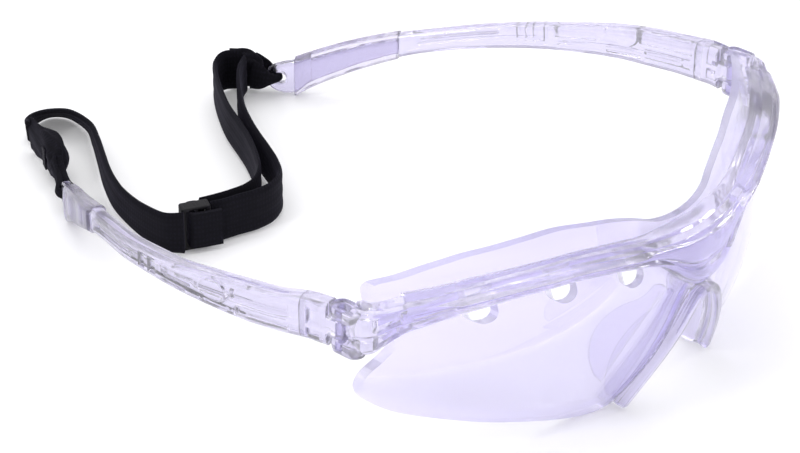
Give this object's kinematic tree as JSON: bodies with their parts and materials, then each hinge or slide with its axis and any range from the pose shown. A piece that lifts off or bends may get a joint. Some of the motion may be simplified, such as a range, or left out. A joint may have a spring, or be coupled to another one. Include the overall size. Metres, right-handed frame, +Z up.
{
  "type": "sports protective goggles",
  "caption": "Clear wraparound sports eyeguard: one-piece shield, folding clear temples with soft tip sleeves, and a dark elastic head strap with a slider.",
  "frame": {"origin": "centre of the overall box, on the table plane the eyeguard rests on", "axes": "+Z up, the lens faces -Y, the wearer's left is +X"},
  "size_m": [0.1494, 0.1995, 0.0512],
  "materials": {
    "clear_frame": "polished moulded polycarbonate, faint lavender tint",
    "clear_lens": "optically clear polycarbonate",
    "clear_pin": "moulded clear pin",
    "soft_pad": "translucent soft silicone",
    "soft_sleeve": "satin translucent soft plastic",
    "webbing": "woven elastic, matte",
    "thread": "sewing thread",
    "slider_plastic": "moulded black plastic"
  },
  "bodies": {
    "front": {"brow_bar": "clear_frame", "lens_shield": "clear_lens", "nosepiece": "clear_frame", "nose_pad_right": "soft_pad", "nose_pad_left": "soft_pad", "hinge_pin_right": "clear_pin", "hinge_pin_left": "clear_pin", "strap_single": "webbing", "strap_loop_outer": "webbing", "strap_loop_inner": "webbing"},
    "temple_right": {"hinge_link_right": "clear_frame", "temple_arm_right": "clear_frame", "tip_sleeve_right": "soft_sleeve", "strap_end_right": "webbing", "strap_tack_right": "thread"},
    "temple_left": {"hinge_link_left": "clear_frame", "temple_arm_left": "clear_frame", "tip_sleeve_left": "soft_sleeve", "strap_end_left": "webbing", "strap_tack_left": "thread"},
    "slider": {"strap_slider": "slider_plastic", "strap_hem": "webbing"}
  },
  "joints": [
    {"name": "fold_right", "type": "hinge", "parent": "front", "child": "temple_right", "pos_m": [-0.0706, -0.055, 0.0358], "axis": [0, 0, -1], "range_deg": [0, 80], "deforming": ["strap_end_right", "strap_tack_right", "strap_single", "strap_hem", "strap_loop_outer", "strap_loop_inner", "strap_end_left", "strap_tack_left"]},
    {"name": "fold_left", "type": "hinge", "parent": "front", "child": "temple_left", "pos_m": [0.0706, -0.055, 0.0358], "axis": [0, 0, 1], "range_deg": [0, 70], "deforming": ["strap_end_right", "strap_tack_right", "strap_single", "strap_hem", "strap_loop_outer", "strap_loop_inner", "strap_end_left", "strap_tack_left"]},
    {"name": "slider_adjust", "type": "slide", "parent": "front", "child": "slider", "axis": [0.866, -0.5, 0], "range_m": [-0.002, 0.006], "deforming": ["strap_end_right", "strap_tack_right", "strap_single", "strap_hem", "strap_loop_outer", "strap_loop_inner", "strap_end_left", "strap_tack_left"]}
  ]
}
